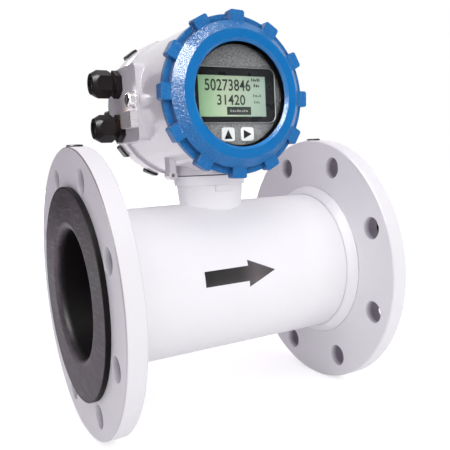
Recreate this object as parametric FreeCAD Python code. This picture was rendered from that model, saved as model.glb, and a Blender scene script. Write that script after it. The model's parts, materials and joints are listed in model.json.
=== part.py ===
"""Electromagnetic flow meter, DN 100, with flanged ends and a round display head.

Millimetres. X is the pipe axis with the flow along +X, Y points away from the display, Z is up.
The origin is on the pipe axis, half way between the two liner faces.
"""
import FreeCAD, Part
import math
import os

V = FreeCAD.Vector
AXES = {"X": V(1, 0, 0), "Y": V(0, 1, 0), "Z": V(0, 0, 1)}
SIDES = {"inlet": -1, "outlet": 1}

# --- flow tube -------------------------------------------------------------
lay_length = 250.0        # over the two liner faces
bore_r = 50.0
liner_wall = 3.0
liner_face_t = 4.0        # liner turned out over each flange
lip_r = 7.5               # rounding of the liner at each mouth
tube_wall = 2.5
casing_wall = 2.5
flange_r = 114.3
flange_t = 15.0
flange_chamfer = 1.0
bolt_edge = 19.05         # bolt circle inside the flange's rim
bolt_hole_r = 9.525
bolt_count = 8
face_margin = 1.525       # between bolt holes and liner face
weld_leg = 7.7
weld_bulge = 0.7

# --- bonding hole plug in each flange rim ----------------------------------
plug_r = 6.3
plug_t = 1.5
plug_round = 0.8
plug_stem_r = 3.0
plug_stem_length = 8.0

# --- electrodes, on the horizontal diameter --------------------------------
electrode_head_r = 4.5
electrode_head_t = 1.6
electrode_stem_r = 2.0
electrode_stem_over = 0.6     # stem past its nut
sleeve_r = 3.5
sleeve_flange_r = 5.0
sleeve_flange_t = 1.5         # above the tube's crown
electrode_nut_af = 7.0
electrode_nut_t = 2.2

# --- field coils, above and below the tube ---------------------------------
coil_t = 5.0
coil_clearance = 0.5          # between coil and casing
coil_half_angle = 48.0
coil_half_length = 45.0
coil_window_angle = 26.0
coil_window_half = 25.0
pole_gap = 1.0                # between pole shoe and coil window
pole_gap_angle = 1.0

# --- neck between casing and head ------------------------------------------
neck_r = 27.0
neck_top_r = 28.4
neck_bore_r = 20.0
neck_flange_r = 30.3
neck_flange_t = 8.0
gasket_t = 0.8
gasket_step = 0.8             # gasket edge behind the flange edge
foot_drop = 0.3               # underside of the head's foot below the drum
lock_pad_width = 17.0
lock_pad_drop = 5.3
lock_pad_depth = 9.0
neck_screw_r = 2.5
neck_screw_edge = 5.1         # screw circle inside the neck flange's rim
neck_screw_head_r = 4.25
neck_screw_head_t = 5.0
neck_screw_floor = 7.8        # foot left under each screw head
neck_screw_bite = 6.5         # in the neck flange
neck_screw_count = 4
screw_hole_clearance = 0.25

# --- head housing, a drum along Y ------------------------------------------
head_z = 148.5
drum_r = 60.5
rim_step = 1.9                # rear rim over the drum
rim_length = 17.0
front_y = -50.0
rear_y = 69.0
drum_wall = 7.5
partition_y = 8.0             # front face of the wall between the two chambers
partition_t = 5.0
thread_step = 1.5             # thread's radius over the chamber's
thread_clearance = 0.08
thread_length = 9.0           # engagement of each cover
thread_runout = 1.0
lead_hole_r = 9.0
feed_r = 7.0
feed_clearance = 0.05
feed_flange_r = 9.0
feed_flange_t = 2.0
feed_z = 32.0                 # above the head's axis
edge_round = 1.5

# --- flat pad on the head's inlet side, for glands and earth ---------------
pad_over = 2.0                # pad's face over the drum
pad_front_y = -4.0
pad_rear_y = 56.0
pad_half_height = 31.0
pad_round = 5.0

# --- seal lug beside the foot ----------------------------------------------
seal_lug_x = -38.0
seal_lug_rise = 0.5           # lug's axis above the drum's underside
seal_lug_r = 3.7
seal_lug_front_y = -11.0
seal_lug_t = 10.0
seal_hole_r = 1.5
seal_web_width = 5.6          # lug's web up into the drum's wall

# --- lugged screw covers ---------------------------------------------------
cover_flange_r = 61.4
cover_flange_t = 4.6
cover_step_r = 56.2           # wall inside the lugs, up to the foot of the cone
cover_step_height = 8.7
front_ring_r = 48.9
cover_height = 16.2           # front cover over the housing's face
cover_bore_r = 48.5
window_r = 39.8
window_chamfer = 2.2
window_lip_t = 3.2
glass_t = 5.0
glass_r = 46.0
glass_clearance = 0.15
glass_ring_t = 1.8
glass_ring_width = 7.7
rear_cover_height = 14.0
rear_cover_top_r = 50.0
rear_cover_wall = 4.5
lug_count = 12
lug_tip_r = 64.3
lug_width = 12.5
lug_corner = 1.2
lug_root = 1.0                # lug sunk into the step's wall
front_phase = 2.0             # lug pattern, degrees from the top
rear_phase = -6.3
oring_r = 57.2
oring_section_r = 1.2
oring_clearance = 0.05

# --- display ---------------------------------------------------------------
plate_over = 2.4              # display plate in front of the housing's face
plate_r = 43.0
plate_t = 2.0
bezel_width = 71.6
bezel_height = 42.4
bezel_round = 6.0
bezel_front = 1.2             # in front of the plate
bezel_z = 0.4                 # above the head's axis
screen_width = 59.8
screen_height = 31.4
screen_x = -2.6
screen_drop = 0.8             # screen's middle below the bezel's
screen_depth = 0.8            # screen behind the bezel's front
screen_margin = 2.0           # screen hidden behind the bezel on each side
screen_t = 2.4
key_width = 11.5
key_height = 10.8
key_round = 2.4
key_pitch = 17.3
key_z = -29.8
key_front = 1.0               # in front of the plate
key_rear = 0.5                # behind the plate
key_travel = 0.5
key_clearance = 0.25
switch_size = 6.0
board_t = 1.6
display_board_r = 38.0
display_board_gap = 7.0       # behind the plate's front face
display_post_r = 2.4
display_post_x = 21.0
display_post_z = 27.0
main_board_r = 46.0
main_board_y = -20.0          # front face
frame_post_r = 3.0
frame_post_offset = 24.0
power_width = 40.0
power_height = 26.0
power_t = 15.0
power_z = 18.0
capacitor_r = 5.0
capacitor_length = 14.0
capacitor_count = 3
capacitor_pitch = 13.0
capacitor_z = -12.0

# --- sensor leads ----------------------------------------------------------
lead_r = 3.5
lead_y = -6.0
lead_top_drop = 42.5          # below the head's axis
sensor_plug_width = 16.0
sensor_plug_height = 7.0
sensor_plug_rear = 5.0        # plug behind the leads' axis

# --- terminals in the rear chamber -----------------------------------------
terminal_width = 72.0
terminal_height = 16.0
terminal_t = 13.0
terminal_z = -8.0
terminal_count = 8
terminal_pitch = 8.4
terminal_screw_r = 2.4
terminal_screw_t = 1.2
terminal_well = 3.0

# --- cable glands ----------------------------------------------------------
gland_y = 38.0
gland_rise = 18.5             # each gland above or below the head's axis
gland_thread_r = 8.0
gland_thread_clearance = 0.03
gland_hex_af = 20.4
gland_hex_t = 5.2
gland_groove_r = 8.6
gland_groove_length = 1.6
gland_bore_r = 6.2
nut_length = 19.0
nut_skirt_length = 2.6
nut_hex_length = 9.0
nut_mouth_r = 5.8
nut_nose_r = 8.6
nut_inner_r = 8.9
nut_lip_t = 2.0
seal_bore_r = 4.0
seal_r = 7.2
seal_length = 8.0
slip_ring_t = 1.2
slip_ring_width = 1.2
gland_gap = 0.15              # between nut and what is inside it

# --- earth terminal --------------------------------------------------------
earth_y = 0.5
earth_rise = 2.0              # above the head's axis
earth_washer_r = 6.6
earth_washer_t = 1.4
earth_head_r = 6.0
earth_head_t = 5.6
earth_head_round = 1.8
earth_slot_width = 1.4
earth_slot_depth = 1.8
earth_thread_r = 3.9
earth_thread_length = 6.5
strap_front_y = -4.0
strap_length = 24.0
strap_t = 6.2
strap_wall = 1.4
strap_height = 13.0
strap_drop = 13.5             # below the head's axis
core_over = 6.5               # brass core past the strap

tube_r = bore_r + liner_wall + tube_wall
casing_r = tube_r + coil_t + coil_clearance + casing_wall
flange_x = lay_length / 2 - liner_face_t
bolt_circle_r = flange_r - bolt_edge
liner_face_r = bolt_circle_r - bolt_hole_r - face_margin
foot_r = neck_flange_r
foot_z = head_z - drum_r - foot_drop
neck_top_z = foot_z - gasket_t
neck_screw_circle_r = neck_flange_r - neck_screw_edge
rim_r = drum_r + rim_step
chamber_r = drum_r - drum_wall
thread_r = chamber_r + thread_step
housing_thread_r = thread_r + thread_clearance
pad_x = drum_r + pad_over
seal_lug_z = head_z - drum_r + seal_lug_rise
seal_web_top_z = head_z - math.sqrt((drum_r - drum_wall / 2) ** 2 - seal_lug_x ** 2)
lead_top_z = head_z - lead_top_drop
earth_z = head_z + earth_rise
strap_z = head_z - strap_drop
plate_y = front_y - plate_over
display_board_y = plate_y + display_board_gap
display_z = head_z + bezel_z
screen_z = display_z - screen_drop
switch_front_y = plate_y + plate_t + key_rear + key_travel


# --- building blocks -------------------------------------------------------
def cyl(r, start, end, axis="X", at=(0, 0, 0)):
    """Cylinder of radius r from start to end along an axis through the point at."""
    base = V(*at) + AXES[axis] * start
    return Part.makeCylinder(r, end - start, base, AXES[axis])


def ring(r_out, r_in, start, end, axis="X", at=(0, 0, 0)):
    return cyl(r_out, start, end, axis, at).cut(cyl(r_in, start, end, axis, at))


def block(x0, x1, y0, y1, z0, z1):
    return Part.makeBox(x1 - x0, y1 - y0, z1 - z0, V(x0, y0, z0))


def lathe(points, axis="X", at=(0, 0, 0)):
    """Turn a closed profile of (radius, station) points about an axis through the point at."""
    side = V(0, 0, 1) if axis != "Z" else V(1, 0, 0)
    path = [V(*at) + side * r + AXES[axis] * s for r, s in points]
    face = Part.Face(Part.makePolygon(path + path[:1]))
    return face.revolve(V(*at), AXES[axis], 360)


def sector(r_in, r_out, half_angle, half_length):
    """Part of a shell about X, centred on +Z."""
    corners = [(-half_length, r_in), (half_length, r_in), (half_length, r_out), (-half_length, r_out)]
    path = [V(x, 0, r) for x, r in corners]
    face = Part.Face(Part.makePolygon(path + path[:1]))
    solid = face.revolve(V(0, 0, 0), AXES["X"], 2 * half_angle)
    solid.rotate(V(0, 0, 0), AXES["X"], -half_angle)
    return solid


def hexagon(across_flats, start, end, axis, at, turn=0.0):
    """Hexagonal bar along an axis; with turn 0 two of its flats face along Y, or X on the Y axis."""
    corner_r = across_flats / math.sqrt(3)
    side, up = (AXES["Y"], AXES["Z"]) if axis == "X" else (AXES["X"], AXES["Z"])
    angles = [math.radians(30 + turn + 60 * i) for i in range(6)]
    base = V(*at) + AXES[axis] * start
    path = [base + side * (corner_r * math.cos(a)) + up * (corner_r * math.sin(a)) for a in angles]
    return Part.Face(Part.makePolygon(path + path[:1])).extrude(AXES[axis] * (end - start))


def edges_along(shape, axis):
    """Straight edges parallel to an axis."""
    return [e for e in shape.Edges if len(e.Vertexes) == 2 and isinstance(e.Curve, Part.Line)
            and abs(abs(e.tangentAt(e.FirstParameter).dot(AXES[axis])) - 1) < 1e-6]


def rounded_block(x0, x1, y0, y1, z0, z1, radius, axis="Y"):
    solid = block(x0, x1, y0, y1, z0, z1)
    return solid.makeFillet(radius, edges_along(solid, axis))


def polar(shape, count, axis="Y", at=(0, 0, 0), phase=0.0):
    """Copies of a shape round an axis."""
    copies = []
    for i in range(count):
        copy = shape.copy()
        copy.rotate(V(*at), AXES[axis], phase + i * 360.0 / count)
        copies.append(copy)
    return copies


def fused(shapes):
    return shapes[0].multiFuse(shapes[1:]).removeSplitter() if len(shapes) > 1 else shapes[0]


# --- flow tube -------------------------------------------------------------
def measuring_tube():
    tube = ring(tube_r, tube_r - tube_wall, -flange_x, flange_x)
    return tube.cut(cyl(sleeve_r, -tube_r, tube_r, "Y"))


def liner():
    """Lining of the tube, turned out over both flanges, with a rounded mouth at each end."""
    half = lay_length / 2
    outer_r = bore_r + liner_wall
    profile = [(bore_r, -half), (bore_r, half), (liner_face_r, half), (liner_face_r, flange_x),
               (outer_r, flange_x), (outer_r, -flange_x), (liner_face_r, -flange_x), (liner_face_r, -half)]
    solid = lathe(profile)
    mouths = [e for e in solid.Edges if isinstance(e.Curve, Part.Circle)
              and abs(e.Curve.Radius - bore_r) < 1e-6 and abs(abs(e.Curve.Center.x) - half) < 1e-6]
    solid = solid.makeFillet(lip_r, mouths)
    heads = cyl(electrode_head_r, -bore_r - electrode_head_t, bore_r + electrode_head_t, "Y")
    stems = cyl(electrode_stem_r, -outer_r, outer_r, "Y")
    return solid.cut(heads).cut(stems)


def flange(side):
    """Plate flange with bolt holes straddling the centre lines and a bonding hole in its rim."""
    inner, outer = sorted((side * flange_x, side * (flange_x - flange_t)))
    plate = cyl(flange_r, inner, outer)
    rims = [e for e in plate.Edges if isinstance(e.Curve, Part.Circle)]
    plate = plate.makeChamfer(flange_chamfer, rims)
    hole = cyl(bolt_hole_r, inner, outer, at=(0, 0, bolt_circle_r))
    holes = polar(hole, bolt_count, "X", phase=180.0 / bolt_count)
    middle_x = (inner + outer) / 2
    bonding = cyl(plug_stem_r, flange_r - plug_stem_length, flange_r, "Z", (middle_x, 0, 0))
    return plate.cut(cyl(tube_r, inner, outer)).cut(holes).cut(bonding)


def rim_plug(side):
    """Push-in cap that closes the bonding hole."""
    middle_x = side * (flange_x - flange_t / 2)
    cap = cyl(plug_r, flange_r - plug_round, flange_r + plug_t, "Z", (middle_x, 0, 0))
    top = [e for e in cap.Edges if isinstance(e.Curve, Part.Circle)
           and e.Curve.Center.z > flange_r + plug_t / 2]
    cap = cap.makeFillet(plug_round, top).cut(cyl(flange_r, middle_x - 2 * plug_r, middle_x + 2 * plug_r))
    stem = cyl(plug_stem_r, flange_r - plug_stem_length, flange_r, "Z", (middle_x, 0, 0))
    return cap.fuse(stem).removeSplitter()


def coil_casing():
    half = flange_x - flange_t
    tube = ring(casing_r, casing_r - casing_wall, -half, half)
    return tube.cut(cyl(lead_hole_r, 0, casing_r + 1, "Z", (0, lead_y, 0)))


def weld(side):
    """Convex fillet weld between casing and flange."""
    face_x = flange_x - flange_t
    toe, root = V(side * (face_x - weld_leg), 0, casing_r), V(side * face_x, 0, casing_r)
    top = V(side * face_x, 0, casing_r + weld_leg)
    middle = (toe + top) * 0.5 + V(-side, 0, 1) * (weld_bulge / math.sqrt(2))
    edges = [Part.makeLine(root, toe), Part.Arc(toe, middle, top).toShape(), Part.makeLine(top, root)]
    return Part.Face(Part.Wire(edges)).revolve(V(0, 0, 0), AXES["X"], 360)


def along_y(side, r, start, end):
    """Cylinder on the electrode axis, from start to end outwards on one side."""
    low, high = sorted((side * start, side * end))
    return cyl(r, low, high, "Y")


def electrode(side):
    """Measuring electrode, its head flush with the liner's bore."""
    seat = bore_r + electrode_head_t
    tip = tube_r + sleeve_flange_t + electrode_nut_t + electrode_stem_over
    head = along_y(side, electrode_head_r, seat - 2 * electrode_head_t, seat)
    stem = along_y(side, electrode_stem_r, seat - electrode_head_t, tip)
    return head.fuse(stem).cut(cyl(bore_r, -electrode_head_r - 1, electrode_head_r + 1)).removeSplitter()


def electrode_sleeve(side):
    """Insulating sleeve through the tube wall, with a flange under the nut."""
    reach = sleeve_flange_r + 1
    outer = tube_r + sleeve_flange_t
    barrel = along_y(side, sleeve_r, bore_r, outer).cut(cyl(bore_r + liner_wall, -reach, reach))
    collar = along_y(side, sleeve_flange_r, bore_r, outer).cut(cyl(tube_r, -reach, reach))
    return barrel.fuse(collar).cut(along_y(side, electrode_stem_r, bore_r, outer)).removeSplitter()


def electrode_nut(side):
    start = side * (tube_r + sleeve_flange_t)
    end = start + side * electrode_nut_t
    low, high = sorted((start, end))
    return hexagon(electrode_nut_af, low, high, "Y", (0, 0, 0)).cut(cyl(electrode_stem_r, low, high, "Y"))


def coil(side):
    """Saddle coil on the tube, wound round its pole shoe."""
    saddle = sector(tube_r, tube_r + coil_t, coil_half_angle, coil_half_length)
    window = sector(tube_r - 1, tube_r + coil_t + 1, coil_window_angle, coil_window_half)
    solid = saddle.cut(window)
    solid.rotate(V(0, 0, 0), AXES["X"], 0 if side > 0 else 180)
    return solid


def pole(side):
    solid = sector(tube_r, tube_r + coil_t, coil_window_angle - pole_gap_angle, coil_window_half - pole_gap)
    solid.rotate(V(0, 0, 0), AXES["X"], 0 if side > 0 else 180)
    return solid


# --- neck ------------------------------------------------------------------
def neck():
    """Turned neck, saddled onto the casing, with a round flange and a locking pad under its front."""
    under = neck_top_z - neck_flange_t
    profile = [(neck_bore_r, 0), (neck_r, 0), (neck_r, casing_r), (neck_top_r, under),
               (neck_flange_r, under), (neck_flange_r, neck_top_z), (neck_bore_r, neck_top_z)]
    body = lathe(profile, "Z")
    front = -neck_flange_r + edge_round
    lock_pad = block(-lock_pad_width / 2, lock_pad_width / 2, front, front + lock_pad_depth,
                     under - lock_pad_drop, under)
    body = body.fuse(lock_pad).cut(cyl(neck_bore_r, 0, neck_top_z, "Z"))
    body = body.cut(cyl(casing_r, -neck_flange_r, neck_flange_r))
    return body.cut(neck_screw_cuts(neck_screw_r, neck_top_z - neck_screw_bite, neck_top_z)).removeSplitter()


def neck_screw_cuts(r, bottom, top):
    one = cyl(r, bottom, top, "Z", (neck_screw_circle_r, 0, 0))
    return polar(one, neck_screw_count, "Z", phase=180.0 / neck_screw_count)


def neck_gasket():
    disc = ring(neck_flange_r - gasket_step, neck_bore_r, neck_top_z, foot_z, "Z")
    return disc.cut(neck_screw_cuts(neck_screw_r + screw_hole_clearance, neck_top_z, foot_z))


def neck_screws():
    """Socket screws from the chambers' floor down into the neck."""
    seat = foot_z + neck_screw_floor
    screw = cyl(neck_screw_r, neck_top_z - neck_screw_bite, seat, "Z", (neck_screw_circle_r, 0, 0))
    head = cyl(neck_screw_head_r, seat, seat + neck_screw_head_t, "Z", (neck_screw_circle_r, 0, 0))
    socket = hexagon(neck_screw_r * 1.6, 0, neck_screw_head_t / 2, "Y", (0, 0, 0))
    socket.rotate(V(0, 0, 0), AXES["X"], 90)
    socket.translate(V(neck_screw_circle_r, 0, seat + neck_screw_head_t / 2))
    one = screw.fuse(head).cut(socket).removeSplitter()
    return Part.makeCompound(polar(one, neck_screw_count, "Z", phase=180.0 / neck_screw_count))


# --- head housing ----------------------------------------------------------
HEAD = (0, 0, head_z)


def head_shell():
    """Outside of the housing before it is hollowed."""
    rim_front = rear_y - rim_length
    slope = rim_r - drum_r
    drum = lathe([(0, front_y), (drum_r, front_y), (drum_r, rim_front - slope), (rim_r, rim_front),
                  (rim_r, rear_y), (0, rear_y)], "Y", HEAD)
    foot = cyl(foot_r, foot_z, head_z, "Z")
    side_pad = rounded_block(-pad_x, 0, pad_front_y, pad_rear_y, head_z - pad_half_height,
                             head_z + pad_half_height, pad_round, "X")
    lug_rear_y = seal_lug_front_y + seal_lug_t
    seal_lug = cyl(seal_lug_r, seal_lug_front_y, lug_rear_y, "Y", (seal_lug_x, 0, seal_lug_z))
    half_web = seal_web_width / 2
    web = block(seal_lug_x - half_web, seal_lug_x + half_web, seal_lug_front_y, lug_rear_y,
                seal_lug_z, seal_web_top_z)
    return fused([drum, foot, side_pad, seal_lug, web])


def head_hollow():
    """Both chambers with their threaded mouths."""
    wall_rear = partition_y + partition_t
    mouth = thread_length + thread_runout
    return [cyl(chamber_r, front_y, partition_y, "Y", HEAD),
            cyl(housing_thread_r, front_y, front_y + mouth, "Y", HEAD),
            cyl(chamber_r, wall_rear, rear_y, "Y", HEAD),
            cyl(housing_thread_r, rear_y - mouth, rear_y, "Y", HEAD)]


def head_holes():
    """Lead way in the foot, feed-through in the partition, gland threads, earth thread, screw holes."""
    seat = foot_z + neck_screw_floor
    cuts = [cyl(lead_hole_r, foot_z, head_z - chamber_r + lead_r, "Z", (0, lead_y, 0)),
            cyl(feed_r, partition_y, partition_y + partition_t, "Y", (0, 0, head_z + feed_z)),
            cyl(earth_thread_r, -pad_x, -pad_x + earth_thread_length, "X", (0, earth_y, earth_z)),
            cyl(seal_hole_r, seal_lug_front_y, seal_lug_front_y + seal_lug_t, "Y",
                (seal_lug_x, 0, seal_lug_z))]
    for rise in (gland_rise, -gland_rise):
        cuts.append(cyl(gland_thread_r, -pad_x, -chamber_r / 2, "X", (0, gland_y, head_z + rise)))
    cuts += neck_screw_cuts(neck_screw_r + screw_hole_clearance, foot_z, seat)
    cuts += neck_screw_cuts(neck_screw_head_r + screw_hole_clearance, seat, head_z - chamber_r / 2)
    return cuts


def housing():
    return head_shell().cut(head_hollow()).cut(head_holes()).removeSplitter()


def feed_through():
    """Sealed plug that carries the wires from the terminals to the electronics."""
    z = head_z + feed_z
    front = partition_y - feed_flange_t
    stem = cyl(feed_r - feed_clearance, front, partition_y + partition_t, "Y", (0, 0, z))
    collar = cyl(feed_flange_r, front, partition_y, "Y", (0, 0, z))
    return stem.fuse(collar).removeSplitter()


# --- screw covers ----------------------------------------------------------
def cover_lugs(face_y, out):
    """Grip lugs round a cover; out is -1 for the front cover and 1 for the rear one."""
    half, base_r = lug_width / 2, cover_step_r - lug_root
    outline = [(-half, base_r), (-half, lug_tip_r - lug_corner), (-half + lug_corner, lug_tip_r),
               (half - lug_corner, lug_tip_r), (half, lug_tip_r - lug_corner), (half, base_r)]
    path = [V(x, face_y, head_z + r) for x, r in outline]
    lug = Part.Face(Part.makePolygon(path + path[:1])).extrude(V(0, out * cover_step_height, 0))
    phase = front_phase if out < 0 else rear_phase
    return polar(lug, lug_count, "Y", HEAD, phase)


def oring_groove(face_y, out):
    deep = 2 * oring_section_r + oring_clearance
    start, end = sorted((face_y, face_y + out * deep))
    half = oring_section_r + oring_clearance
    return ring(oring_r + half, oring_r - half, start, end, "Y", HEAD)


def screw_cover(profile, face_y, out):
    """Turned cover with its lugs and seal groove, from a profile of (radius, distance out)."""
    body = lathe([(r, face_y + out * d) for r, d in profile], "Y", HEAD)
    body = fused([body] + cover_lugs(face_y, out))
    return body.cut(oring_groove(face_y, out)).removeSplitter()


def front_cover():
    glass_front = cover_height - window_lip_t
    glass_rear = glass_front - glass_t - glass_ring_t
    pocket_r = glass_r + glass_clearance
    profile = [(cover_bore_r, -thread_length), (thread_r, -thread_length), (thread_r, 0),
               (cover_flange_r, 0), (cover_flange_r, cover_flange_t), (cover_step_r, cover_flange_t),
               (cover_step_r, cover_step_height), (front_ring_r, cover_height),
               (window_r + window_chamfer, cover_height),
               (window_r, cover_height - window_chamfer), (window_r, glass_front), (pocket_r, glass_front),
               (pocket_r, glass_rear), (cover_bore_r, glass_rear)]
    return screw_cover(profile, front_y, -1)


def rear_cover():
    inner_top = rear_cover_height - rear_cover_wall
    profile = [(cover_bore_r, -thread_length), (thread_r, -thread_length), (thread_r, 0),
               (cover_flange_r, 0), (cover_flange_r, cover_flange_t), (cover_step_r, cover_flange_t),
               (cover_step_r, cover_step_height), (rear_cover_top_r, rear_cover_height),
               (0, rear_cover_height), (0, inner_top),
               (cover_bore_r, inner_top)]
    return screw_cover(profile, rear_y, 1)


def cover_oring(face_y, out):
    centre_y = face_y + out * (oring_section_r + oring_clearance)
    return Part.makeTorus(oring_r, oring_section_r, V(0, centre_y, head_z), AXES["Y"])


def window_glass():
    front = front_y - cover_height + window_lip_t
    return cyl(glass_r, front, front + glass_t, "Y", HEAD)


def glass_ring():
    front = front_y - cover_height + window_lip_t + glass_t
    return ring(glass_r, glass_r - glass_ring_width, front, front + glass_ring_t, "Y", HEAD)


# --- display ---------------------------------------------------------------
def key_block(side, grow, y0, y1):
    """Rounded block at one key, grown by a clearance all round."""
    x, z = side * key_pitch / 2, head_z + key_z
    half_w, half_h = key_width / 2 + grow, key_height / 2 + grow
    return rounded_block(x - half_w, x + half_w, y0, y1, z - half_h, z + half_h, key_round + grow)


def bezel_block(y0, y1, shrink=0.0):
    half_w, half_h = bezel_width / 2 - shrink, bezel_height / 2 - shrink
    return rounded_block(-half_w, half_w, y0, y1, display_z - half_h, display_z + half_h,
                         bezel_round - shrink)


def screen_block(y0, y1, margin=0.0):
    half_w, half_h = screen_width / 2 + margin, screen_height / 2 + margin
    return block(screen_x - half_w, screen_x + half_w, y0, y1, screen_z - half_h, screen_z + half_h)


def display_plate():
    plate = cyl(plate_r, plate_y, plate_y + plate_t, "Y", HEAD)
    for side in (-1, 1):
        plate = plate.cut(key_block(side, key_clearance, plate_y, plate_y + plate_t))
    return plate.cut(screen_block(plate_y, plate_y + plate_t, screen_margin))


def lcd_bezel():
    front = plate_y - bezel_front
    return bezel_block(front, plate_y).cut(screen_block(front, plate_y))


def lcd_screen():
    front = plate_y - bezel_front + screen_depth
    glass = screen_block(front, plate_y)
    return glass.fuse(screen_block(plate_y, front + screen_t, screen_margin)).removeSplitter()


def key(side):
    """Key cap, just clear of its switch."""
    return key_block(side, 0, plate_y - key_front, plate_y + plate_t + key_rear)


def key_switches():
    solids = []
    for side in (-1, 1):
        x, half = side * key_pitch / 2, switch_size / 2
        solids.append(block(x - half, x + half, switch_front_y, display_board_y,
                            head_z + key_z - half, head_z + key_z + half))
    return Part.makeCompound(solids)


def display_posts():
    spots = [(x, z) for x in (-display_post_x, display_post_x) for z in (-display_post_z, display_post_z)]
    return Part.makeCompound([cyl(display_post_r, plate_y + plate_t, display_board_y, "Y", (x, 0, head_z + z))
                              for x, z in spots])


def display_board():
    return cyl(display_board_r, display_board_y, display_board_y + board_t, "Y", HEAD)


def frame_posts():
    """Posts from the partition to the main board, and on from there to the display board."""
    solids = []
    for x in (-frame_post_offset, frame_post_offset):
        for z in (-frame_post_offset, frame_post_offset):
            spot = (x, 0, head_z + z)
            solids.append(cyl(frame_post_r, main_board_y + board_t, partition_y, "Y", spot))
            solids.append(cyl(frame_post_r, display_board_y + board_t, main_board_y, "Y", spot))
    return Part.makeCompound(solids)


def main_board():
    return cyl(main_board_r, main_board_y, main_board_y + board_t, "Y", HEAD)


def power_module():
    rear = main_board_y + board_t
    z = head_z + power_z
    return rounded_block(-power_width / 2, power_width / 2, rear, rear + power_t,
                         z - power_height / 2, z + power_height / 2, edge_round)


def capacitors():
    first = -(capacitor_count - 1) / 2
    return Part.makeCompound([cyl(capacitor_r, main_board_y - capacitor_length, main_board_y, "Y",
                                  ((first + i) * capacitor_pitch, 0, head_z + capacitor_z))
                              for i in range(capacitor_count)])


# --- leads and terminals ---------------------------------------------------
def sensor_leads():
    """Coil and electrode leads, clipped upright from the casing to the plug on the main board."""
    saddle_r = tube_r + coil_t
    bundle = cyl(lead_r, saddle_r, lead_top_z, "Z", (0, lead_y, 0))
    return bundle.cut(cyl(saddle_r, -lead_r, lead_r))


def sensor_plug():
    half = sensor_plug_width / 2
    return block(-half, half, main_board_y + board_t, lead_y + sensor_plug_rear,
                 lead_top_z, lead_top_z + sensor_plug_height)


def terminal_spots():
    first = -(terminal_count - 1) / 2
    return [(first + i) * terminal_pitch for i in range(terminal_count)]


def terminal_block():
    """Terminal strip with a screw well and a wire entry for each pole."""
    rear = partition_y + partition_t
    z = head_z + terminal_z
    strip = block(-terminal_width / 2, terminal_width / 2, rear, rear + terminal_t,
                  z - terminal_height / 2, z + terminal_height / 2)
    wells, entries = [], []
    for x in terminal_spots():
        wells.append(cyl(terminal_screw_r + screw_hole_clearance, rear + terminal_t - terminal_well,
                         rear + terminal_t, "Y", (x, 0, z)))
        entries.append(block(x - terminal_screw_r, x + terminal_screw_r, rear + terminal_t / 3,
                             rear + terminal_t * 2 / 3, z - terminal_height / 2, z - terminal_height / 4))
    return strip.cut(wells + entries)


def terminal_screws():
    floor = partition_y + partition_t + terminal_t - terminal_well
    z = head_z + terminal_z
    return Part.makeCompound([cyl(terminal_screw_r, floor, floor + terminal_screw_t, "Y", (x, 0, z))
                              for x in terminal_spots()])


# --- cable glands ----------------------------------------------------------
def gland_at(rise):
    return (0, gland_y, head_z + rise)


def gland_body(rise):
    """Thread into the pad, hexagon, and the threaded spigot that the dome nut runs on."""
    at = gland_at(rise)
    hex_end = -pad_x - gland_hex_t
    spigot_end = gland_parts_start() + seal_length / 2
    thread = cyl(gland_thread_r - gland_thread_clearance, -pad_x, -chamber_r + edge_round, "X", at)
    head = hexagon(gland_hex_af, hex_end, -pad_x, "X", at)
    spigot = cyl(gland_groove_r, spigot_end, hex_end, "X", at)
    bore = cyl(gland_bore_r, spigot_end, -chamber_r / 2, "X", at)
    seat = cyl(seal_r + gland_gap, spigot_end, spigot_end + seal_length / 2, "X", at)
    return fused([thread, head, spigot]).cut([bore, seat])


def gland_nut(rise):
    """Dome nut: hexagon blended into a round nose, with a plain skirt at its foot."""
    at = gland_at(rise)
    foot = -pad_x - gland_hex_t - gland_groove_length
    nose = foot - nut_length + gland_groove_length
    corner_r = gland_hex_af / math.sqrt(3)
    flat_end = foot - nut_skirt_length - nut_hex_length
    blank = lathe([(0, foot), (corner_r - nut_skirt_length, foot), (corner_r, foot - nut_skirt_length),
                   (corner_r, flat_end), (nut_nose_r, nose), (0, nose)], "X", at)
    body = blank.common(hexagon(gland_hex_af, nose, foot, "X", at))
    inner = cyl(nut_inner_r, nose + nut_lip_t, foot, "X", at)
    mouth = cyl(nut_mouth_r, nose, foot, "X", at)
    return body.cut([inner, mouth])


def gland_parts_start():
    """Station of the inside of the dome nut's lip."""
    return -pad_x - gland_hex_t - nut_length + nut_lip_t


def slip_ring(rise):
    """Ring in the nose of the dome nut that presses on the seal."""
    start = gland_parts_start()
    outer = nut_inner_r - gland_gap
    return ring(outer, outer - slip_ring_width - gland_gap, start, start + slip_ring_t, "X", gland_at(rise))


def gland_seal(rise):
    """Rubber bush that grips the cable."""
    start = gland_parts_start()
    return ring(seal_r, seal_bore_r, start, start + seal_length, "X", gland_at(rise))


# --- earth terminal --------------------------------------------------------
def earth_washer():
    return ring(earth_washer_r, earth_thread_r, -pad_x - earth_washer_t, -pad_x, "X", (0, earth_y, earth_z))


def earth_screw():
    """Slotted pan-head screw in the pad."""
    at = (0, earth_y, earth_z)
    under = -pad_x - earth_washer_t
    top = under - earth_head_t
    head = cyl(earth_head_r, top, under, "X", at)
    crown = [e for e in head.Edges if isinstance(e.Curve, Part.Circle) and e.Curve.Center.x < under - 1]
    head = head.makeFillet(earth_head_round, crown)
    slot = block(top, top + earth_slot_depth, earth_y - earth_slot_width / 2, earth_y + earth_slot_width / 2,
                 earth_z - earth_head_r, earth_z + earth_head_r)
    shank = cyl(earth_thread_r, under, -pad_x + earth_thread_length, "X", at)
    return head.cut(slot).fuse(shank).removeSplitter()


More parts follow.
